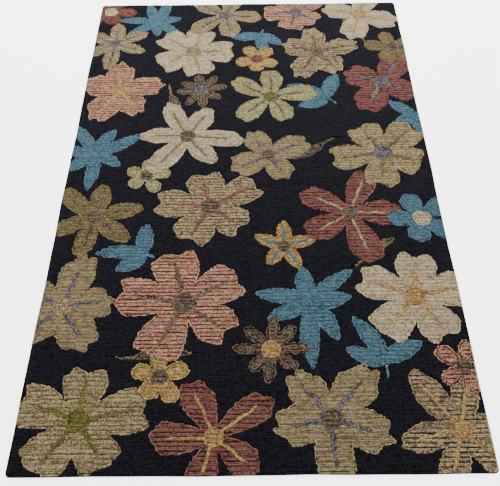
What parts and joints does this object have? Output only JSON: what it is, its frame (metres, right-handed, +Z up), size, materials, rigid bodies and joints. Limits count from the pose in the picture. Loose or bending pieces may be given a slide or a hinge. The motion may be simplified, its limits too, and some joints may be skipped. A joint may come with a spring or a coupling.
{
  "type": "wool rug",
  "caption": "Flat rectangular tufted wool rug with rounded corners and a dark pile strewn with large flowers and leaves in warm and blue yarns.",
  "frame": {"origin": "middle of the rug's outline, on the floor that it lies on", "axes": "+Z up from the floor to the pile, +Y along the length away from the near end, +X along the width"},
  "size_m": [1.528, 2.4408, 0.011],
  "materials": {
    "wool_pile": "matte looped wool pile, dark ground with coloured flowers"
  },
  "bodies": {
    "root": {"wool_rug": "wool_pile"}
  },
  "joints": []
}
